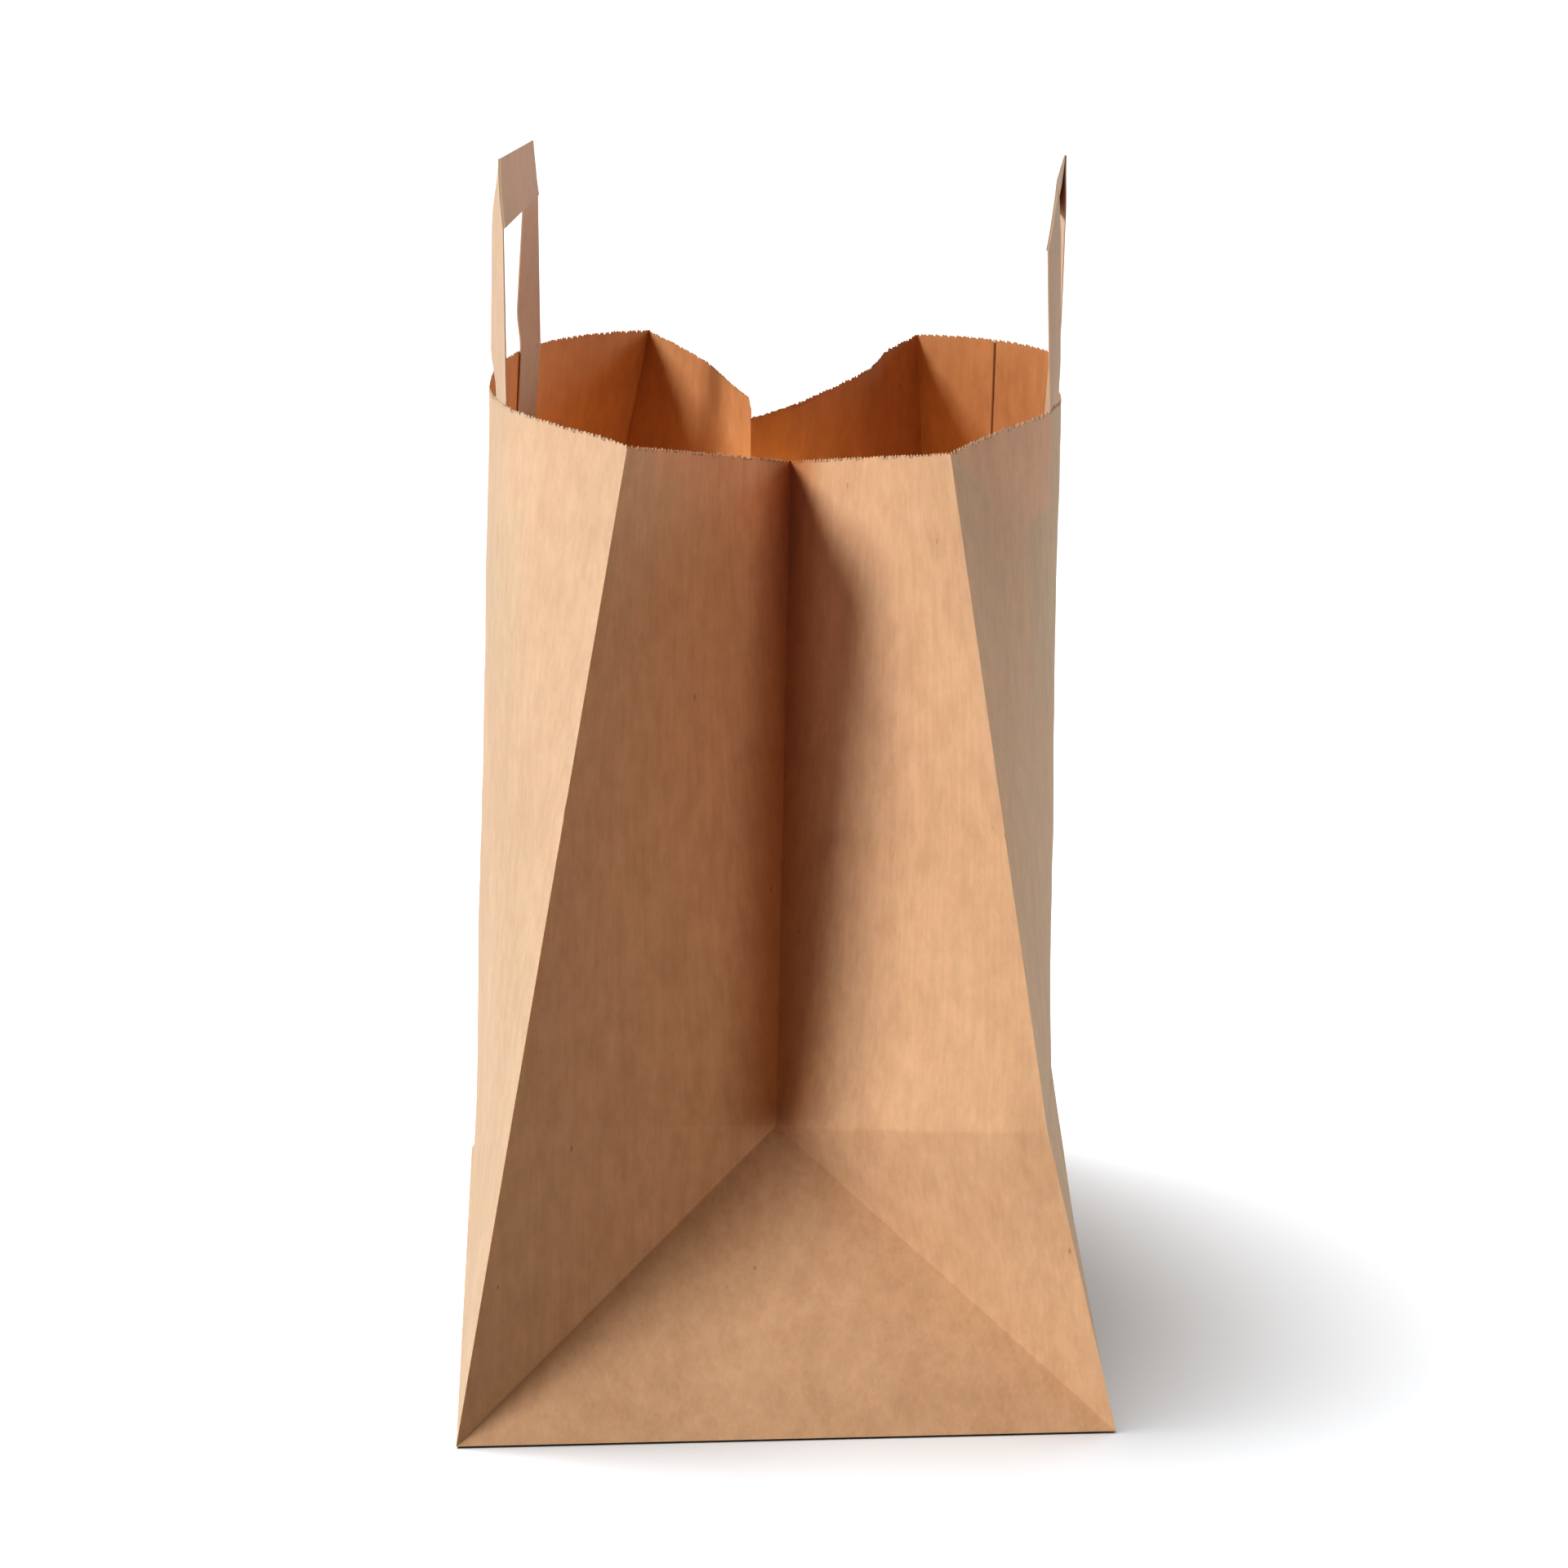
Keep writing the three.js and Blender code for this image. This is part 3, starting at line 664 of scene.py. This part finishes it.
def closed_sheet(grid, thickness):
    """A sheet of even thickness from its grid of points; the second face lies on the grid's back."""
    rows, cols = grid.shape[:2]
    flat = grid.reshape(-1, 3)
    faces = [(r * cols + c, r * cols + c + 1, (r + 1) * cols + c + 1, (r + 1) * cols + c)
             for r in range(rows - 1) for c in range(cols - 1)]
    other_side = flat + steps_inward(flat, faces, thickness)
    size = rows * cols
    border = ([(0, c) for c in range(cols)] + [(r, cols - 1) for r in range(1, rows)]
              + [(rows - 1, c) for c in range(cols - 2, -1, -1)] + [(r, 0) for r in range(rows - 2, 0, -1)])
    loop = [r * cols + c for r, c in border]
    every = faces + [tuple(k + size for k in reversed(f)) for f in faces]
    for a, b in zip(loop, loop[1:] + loop[:1]):
        every.append((b, a, a + size, b + size))
    return np.vstack([flat, other_side]), every


def leg_edges(side):
    """Where a leg's outer and inner edges lie along Y."""
    outer = SHIFT + side * SPAN / 2
    return outer, outer - side * STRIP


def leg_shares(side, cross):
    outer, inner = leg_edges(side)
    return 0.5 + (outer + (inner - outer) * cross) / PANEL


def leg_grid(panel, leg, handle, depth):
    """One leg: glued inside the panel, upright above the rim and cut along the mitre fold."""
    side = leg[0]
    cross = np.linspace(0, 1, STRIP_POINTS)
    share = leg_shares(side, cross)
    rows = []
    for height in np.linspace(HEIGHT - LEG_DEPTH, HEIGHT, GLUED_ROWS):
        rows.append(set_in(panel, share, np.full(share.shape, height), np.full(share.shape, depth)))
    top = fold_line(panel, leg, handle, cross, depth)
    base = rows[-1]
    bow = np.zeros(base.shape)
    bow[:, 0] = LEG_BOW[panel] * cross
    for t in np.linspace(0, 1, FREE_ROWS)[1:]:
        rows.append(base + (top - base) * t + bow * smooth(t, *BOW_FROM) * (1 - smooth(t, *BOW_TO)))
    grid = np.array(rows)
    return grid if side * (1 if panel == "front" else -1) > 0 else grid[:, ::-1]


def fold_line(panel, leg, handle, cross, depth):
    """The mitre fold between a leg and the grip."""
    side, end = leg
    rise, lean, draw = handle[end]
    share = leg_shares(side, cross)
    here = set_in(panel, share, HEIGHT + rise + STRIP * cross, np.full(cross.shape, depth))
    x_side = -1 if panel == "front" else 1
    here[..., 0] += x_side * (lean - draw * cross)
    return here


def make_handle(panel, handle):
    parts = [closed_sheet(leg_grid(panel, leg, handle, HANDLE_DEPTH), HANDLE_SHEET) for leg in LEGS]
    cross = np.linspace(0, 1, STRIP_POINTS)
    low, high = (fold_line(panel, leg, handle, cross, HANDLE_DEPTH + HANDLE_SHEET) for leg in LEGS)
    rows = np.array([low + (high - low) * t for t in np.linspace(0, 1, GRIP_ROWS)])
    parts.append(closed_sheet(rows if panel == "front" else rows[:, ::-1], HANDLE_SHEET))
    points, faces, start = [], [], 0
    for part_points, part_faces in parts:
        points.append(part_points)
        faces += [tuple(k + start for k in face) for face in part_faces]
        start += len(part_points)
    return as_mesh("paper_handle_" + panel, np.vstack(points), faces)


def make_patch(panel):
    """The patch over the leg ends, which stands higher where a leg lies under it."""
    reach = PATCH_LENGTH / 2
    place = np.linspace(SHIFT - reach, SHIFT + reach, PATCH_COLUMNS)
    top = HEIGHT - PATCH_DROP
    grid_p, grid_h = np.meshgrid(place, np.linspace(top - PATCH_HEIGHT, top, PATCH_ROWS))
    over = np.zeros(grid_p.shape)
    for side, _ in LEGS:
        low, high = sorted(leg_edges(side))
        beside = np.maximum(np.maximum(low - grid_p, grid_p - high), 0)
        over = np.maximum(over, 1 - smooth(beside, *PATCH_SLOPE))
    depth = SHEET + PATCH_GAP + over * PATCH_OVER_LEG
    grid = set_in(panel, 0.5 + grid_p / PANEL, grid_h, depth)
    points, faces = closed_sheet(grid[:, ::-1] if panel == "front" else grid, PATCH_SHEET)
    return as_mesh("paper_patch_" + panel, points, faces)


def make_seam_shadow():
    """A thin dark strip along the lap where the sheet's two ends meet, inside the back panel: painted shadow,
    standing for the shadow at the lap's edge.
    """
    middle = HALF_P - SEAM_LAP
    place = np.linspace(middle - SEAM_WIDTH / 2, middle + SEAM_WIDTH / 2, 3)
    grid_p, grid_h = np.meshgrid(place, np.linspace(SEAM_BOTTOM, HEIGHT - SEAM_BELOW_RIM, SEAM_ROWS))
    grid = set_in("back", 0.5 + grid_p / PANEL, grid_h, np.full(grid_p.shape, SHEET + SEAM_GAP))
    points, faces = closed_sheet(grid, SEAM_SHEET)
    return as_mesh("painted_seam_shadow_line", points, faces)


# Materials

class Nodes:
    """A node tree, emptied, with short ways to add nodes and to feed their inputs."""

    def __init__(self, holder):
        holder.use_nodes = True
        self.tree = holder.node_tree
        self.tree.nodes.clear()

    def feed(self, socket, value):
        """Gives an input a value, or joins it to another node's output."""
        if isinstance(value, bpy.types.NodeSocket):
            self.tree.links.new(value, socket)
        else:
            socket.default_value = value

    def add(self, kind, **inputs):
        """A node with inputs fed by name, where _ stands for a space in the name."""
        node = self.tree.nodes.new(kind)
        for name, value in inputs.items():
            self.feed(node.inputs[name.replace("_", " ")], value)
        return node

    def maths(self, operation, a, b):
        node = self.tree.nodes.new("ShaderNodeMath")
        node.operation = operation
        self.feed(node.inputs[0], a)
        self.feed(node.inputs[1], b)
        return node.outputs[0]

    def weighted(self, parts):
        """The sum of the parts, each times its weight."""
        total = 0.0
        for part, weight in parts:
            total = self.maths("ADD", total, self.maths("MULTIPLY", part, weight))
        return total

    def spread(self, value, low, high, to_low=0.0, to_high=1.0):
        """The value's range from low to high, spread from to_low to to_high."""
        node = self.add("ShaderNodeMapRange", Value=value, From_Min=low, From_Max=high, To_Min=to_low,
                        To_Max=to_high)
        return node.outputs["Result"]

    def mixed(self, a, b, factor, blend="MIX"):
        node = self.tree.nodes.new("ShaderNodeMix")
        node.data_type = "RGBA"
        node.blend_type = blend
        for name, value in (("A", a), ("B", b), ("Factor", factor)):
            self.feed(node.inputs[name], value)
        return node.outputs["Result"]


# Paper. Each field of noise has its scale, detail, roughness, squeeze along the height and shift.

CLOUD = (28.0, 4.0, 0.55, 0.55, 0)
MOTTLE = (210.0, 3.0, 0.7, 0.5, 3)
STREAKS = (900.0, 2.0, 0.5, 0.035, 5)
GRAIN = (2600.0, 2.0, 0.6, 0.6, 8)
SHIFT_WAY = (1.0, 0.37, 1.7)
CLOUD_SPAN, MOTTLE_SPAN, GRAIN_SPAN = (0.3, 0.7), (0.36, 0.64), (0.25, 0.75)
CLOUD_SHARE, MOTTLE_SHARE, STREAK_SHARE, GRAIN_SHARE = 0.36, 0.4, 0.3, 0.12
STREAK_BUMP, MOTTLE_BUMP, GRAIN_BUMP = 0.5, 0.8, 0.4
BUMP_STRENGTH, BUMP_DISTANCE = 0.32, 0.0002

FLECK_SCALE, FLECK_SQUEEZE, FLECK_SHIFT = 150.0, 0.42, 13
FLECK_EDGE, FLECK_CHOICE, FLECK_STRENGTH = (0.07, 0.03), (0.80, 0.86), 0.55
FLECK_TONE = (0.35, 0.28, 0.22)
# The deep orange the paper is multiplied by at the near gusset's fold: painted shade.
PAINTED_FOLD_SHADE_TONE = (0.62, 0.36, 0.15, 1)

ROUGHNESS, ROUGHNESS_SPREAD = 0.78, 0.07
SPECULAR, SHEEN, SHEEN_ROUGHNESS = 0.28, 0.08, 0.6
INNER_GLOW, GLOW_REACH, GLOW_SCALE = 0.5, (1.0, 0.42, 0.12), 0.0006


def shifted(nodes, coords, squeeze, shift):
    """Coordinates squeezed along the height and moved to a place of their own."""
    node = nodes.add("ShaderNodeMapping", Vector=coords, Scale=(1, 1, squeeze),
                     Location=tuple(shift * way for way in SHIFT_WAY))
    return node.outputs["Vector"]


def noise(nodes, coords, field, seed):
    scale, detail, roughness, squeeze, shift = field
    node = nodes.add("ShaderNodeTexNoise", Vector=shifted(nodes, coords, squeeze, seed + shift),
                     Scale=scale, Detail=detail, Roughness=roughness)
    return node.outputs["Fac"]


def with_flecks(nodes, coords, colour, dark, seed):
    """The colour with sparse dark fibres."""
    fibre = nodes.add("ShaderNodeTexVoronoi", Scale=FLECK_SCALE, Randomness=1.0,
                      Vector=shifted(nodes, coords, FLECK_SQUEEZE, seed + FLECK_SHIFT))
    pick = nodes.add("ShaderNodeSeparateColor", Color=fibre.outputs["Color"])
    fleck = nodes.maths("MULTIPLY", nodes.spread(fibre.outputs["Distance"], *FLECK_EDGE),
                        nodes.spread(pick.outputs["Red"], *FLECK_CHOICE))
    tone = tuple(part * share for part, share in zip(dark, FLECK_TONE))
    return nodes.mixed(colour, (*tone, 1), nodes.maths("MULTIPLY", fleck, FLECK_STRENGTH))


def paper_material(name, light, dark, seed, streak=0.5):
    """Kraft paper: clouds, mottling, streaks along the height, fine grain and sparse dark fibres, and painted
    shade along the near gusset's fold.
    """
    material = bpy.data.materials.new(name)
    nodes = Nodes(material)
    coords = nodes.add("ShaderNodeTexCoord").outputs["Object"]
    cloud, mottle, streaks, grain = (noise(nodes, coords, field, seed)
                                     for field in (CLOUD, MOTTLE, STREAKS, GRAIN))
    tone = nodes.weighted([(nodes.spread(cloud, *CLOUD_SPAN), CLOUD_SHARE),
                           (nodes.spread(mottle, *MOTTLE_SPAN), MOTTLE_SHARE),
                           (nodes.spread(streaks, *MOTTLE_SPAN), STREAK_SHARE * streak),
                           (nodes.spread(grain, *GRAIN_SPAN), GRAIN_SHARE)])
    colour = with_flecks(nodes, coords, nodes.mixed((*dark, 1), (*light, 1), tone), dark, seed)
    # Painted shade: along the near gusset's fold the paper's colour is multiplied by a deep orange.
    shade_paint = nodes.add("ShaderNodeAttribute")
    shade_paint.attribute_name = "painted_fold_shade"
    colour = nodes.mixed(colour, PAINTED_FOLD_SHADE_TONE, shade_paint.outputs["Fac"], "MULTIPLY")
    rough = nodes.spread(mottle, *CLOUD_SPAN, ROUGHNESS - ROUGHNESS_SPREAD, ROUGHNESS + ROUGHNESS_SPREAD)
    relief = nodes.weighted([(streaks, STREAK_BUMP), (mottle, MOTTLE_BUMP), (grain, GRAIN_BUMP)])
    bump = nodes.add("ShaderNodeBump", Strength=BUMP_STRENGTH, Distance=BUMP_DISTANCE, Height=relief)
    shader = nodes.add("ShaderNodeBsdfPrincipled", Base_Color=colour, Roughness=rough,
                       Specular_IOR_Level=SPECULAR, Sheen_Weight=SHEEN, Sheen_Roughness=SHEEN_ROUGHNESS,
                       Subsurface_Weight=INNER_GLOW, Subsurface_Radius=GLOW_REACH,
                       Subsurface_Scale=GLOW_SCALE, Normal=bump.outputs["Normal"])
    shader.subsurface_method = "RANDOM_WALK"
    nodes.add("ShaderNodeOutputMaterial", Surface=shader.outputs["BSDF"])
    return material


# The floor sends less light back to the bag than the camera and glossy rays see in it

FLOOR_REACH = 14.0
FLOOR_BOUNCE = (0.18, 0.18, 0.18, 1)
FLOOR_SEEN = (0.83, 0.85, 0.87, 1)


def make_floor():
    mesh = bpy.data.meshes.new("floor")
    corner_signs = ((-1, -1), (1, -1), (1, 1), (-1, 1))
    mesh.from_pydata([(x * FLOOR_REACH, y * FLOOR_REACH, 0) for x, y in corner_signs], [], [(0, 1, 2, 3)])
    floor = bpy.data.objects.new("floor", mesh)
    bpy.context.scene.collection.objects.link(floor)
    material = bpy.data.materials.new("pale_floor")
    nodes = Nodes(material)
    path = nodes.add("ShaderNodeLightPath")
    seen = nodes.maths("MAXIMUM", path.outputs["Is Camera Ray"], path.outputs["Is Glossy Ray"])
    diffuse = nodes.add("ShaderNodeBsdfDiffuse", Color=nodes.mixed(FLOOR_BOUNCE, FLOOR_SEEN, seen))
    nodes.add("ShaderNodeOutputMaterial", Surface=diffuse.outputs[0])
    mesh.materials.append(material)
    return floor


# Light. The floor has lamps of its own, because no one set gave both the bag's shading and the white
# floor with its tight shadow. A row has the lamp's name, the way to it, its strength, its angle in
# degrees, its colour, and whether it lights the floor alone or leaves the floor out.

SUNS = (
    ("key", (-0.80, -0.33, 0.50), 3.3, 20.0, (1.0, 0.985, 0.97), False),
    ("left_soft", (-0.99, 0.02, 0.10), 0.3, 40.0, (1.0, 0.99, 0.98), False),
    ("right_soft", (0.90, 0.42, 0.10), 1.6, 50.0, (1.0, 0.99, 0.98), False),
    ("floor_soft", (-0.32, 0.18, 0.93), 4.3, 44.0, (1.0, 1.0, 1.0), True),
    ("floor_top", (-0.05, 0.02, 1.0), 1.35, 90.0, (1.0, 1.0, 1.0), True),
)

LOW_POWER, LOW_SIZE, LOW_COLOUR = 0.36, 0.22, (1.0, 0.8, 0.58)
LOW_PLACE, LOW_WAY = (0.15, -0.42, 0.012), (0.16, -0.36, -0.05)

INSIDE_POWER, INSIDE_SIZE, INSIDE_COLOUR = 0.26, 0.05, (1.0, 0.58, 0.22)
INSIDE_PLACE = (0.0, 0.045, 0.2)

WORLD_COLOUR, WORLD_STRENGTH = (1.0, 0.97, 0.94, 1), 0.012


def add_lamp(name, kind, power, colour):
    data = bpy.data.lights.new(name, kind)
    data.energy = power
    data.color = colour
    lamp = bpy.data.objects.new(name, data)
    bpy.context.scene.collection.objects.link(lamp)
    return lamp


def turned(way):
    """The turn of a lamp whose back points this way."""
    return Vector(way).to_track_quat("Z", "Y").to_euler()


def link_to(lamp, pieces, lit):
    """Lets the lamp light these pieces alone, or all but these."""
    group = bpy.data.collections.new(lamp.name + "_lights")
    for piece in pieces:
        group.objects.link(piece)
    lamp.light_linking.receiver_collection = group
    for entry in group.collection_objects:
        entry.light_linking.link_state = "INCLUDE" if lit else "EXCLUDE"


def low_front(floor):
    """Light that the floor in front throws back at the low part of the bag."""
    lamp = add_lamp("low_front", "AREA", LOW_POWER, LOW_COLOUR)
    lamp.data.size = LOW_SIZE
    lamp.location = LOW_PLACE
    lamp.rotation_euler = turned(LOW_WAY)
    lamp.visible_camera = False
    link_to(lamp, [floor], False)


def inside_glow(left_out):
    """The light that comes through the thin walls, as one warm soft lamp inside the bag."""
    lamp = add_lamp("inside_glow", "POINT", INSIDE_POWER, INSIDE_COLOUR)
    lamp.data.shadow_soft_size = INSIDE_SIZE
    lamp.location = INSIDE_PLACE
    lamp.visible_camera = False
    link_to(lamp, left_out, False)


def make_world():
    """Plain white where the camera sees it, and a faint light on everything else."""
    world = bpy.data.worlds.new("studio")
    nodes = Nodes(world)
    soft = nodes.add("ShaderNodeBackground", Color=WORLD_COLOUR, Strength=WORLD_STRENGTH)
    white = nodes.add("ShaderNodeBackground", Color=(1, 1, 1, 1))
    pick = nodes.add("ShaderNodeMixShader", Fac=nodes.add("ShaderNodeLightPath").outputs["Is Camera Ray"])
    nodes.feed(pick.inputs[1], soft.outputs[0])
    nodes.feed(pick.inputs[2], white.outputs[0])
    nodes.add("ShaderNodeOutputWorld", Surface=pick.outputs[0])
    bpy.context.scene.world = world


def make_light(floor, handles):
    for name, way, strength, angle, colour, on_floor in SUNS:
        lamp = add_lamp(name, "SUN", strength, colour)
        lamp.data.angle = math.radians(angle)
        lamp.rotation_euler = turned(way)
        link_to(lamp, [floor], on_floor)
    low_front(floor)
    inside_glow([floor, *handles])
    make_world()


# Assembly. Each paper has its light tone, its dark tone and its seed.

# The wide panels' paper is paler and less saturated than the gussets', though the bag is one sheet: painted
# light, standing for the bright, washed-out look of the lit front panel.
wide_paper = paper_material("kraft_wide_panels", (0.82, 0.555, 0.35), (0.63, 0.395, 0.235), 0.0)
gusset_paper = paper_material("kraft_gussets", (0.79, 0.475, 0.27), (0.57, 0.32, 0.17), 2.0)
inside_paper = paper_material("kraft_inside", (0.52, 0.235, 0.085), (0.36, 0.145, 0.045), 3.0, streak=0.25)
# Very dark paper for the strip at the seam: painted shadow.
seam_shadow_paper = paper_material("kraft_painted_seam_shadow", (0.20, 0.075, 0.025), (0.13, 0.045, 0.015), 6.0)
cut_paper = paper_material("kraft_cut_edge", (0.86, 0.66, 0.46), (0.74, 0.52, 0.33), 4.0)
handle_paper = paper_material("kraft_handle", (0.76, 0.53, 0.36), (0.64, 0.42, 0.27), 5.0)
patch_paper = paper_material("kraft_patch", (0.56, 0.29, 0.13), (0.44, 0.21, 0.09), 9.0)


def put(piece, node, material=None):
    if material:
        piece.data.materials.append(material)
    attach(piece, "root")
    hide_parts(node)


put(make_bag([wide_paper, gusset_paper, inside_paper, cut_paper]), "bag_body")
put(make_seam_shadow(), "bag_body", seam_shadow_paper)
put(make_flap(1, *BACK_FLAP), "bag_body", wide_paper)
put(make_flap(-1, *FRONT_FLAP), "bag_body", wide_paper)
handles = [make_handle("front", FRONT_HANDLE), make_handle("back", BACK_HANDLE)]
put(handles[0], "handle_front", handle_paper)
put(handles[1], "handle_back", handle_paper)
put(make_patch("front"), "patch_front", patch_paper)
put(make_patch("back"), "patch_back", patch_paper)
make_light(make_floor(), handles)
bpy.context.scene.view_settings.view_transform = "Standard"
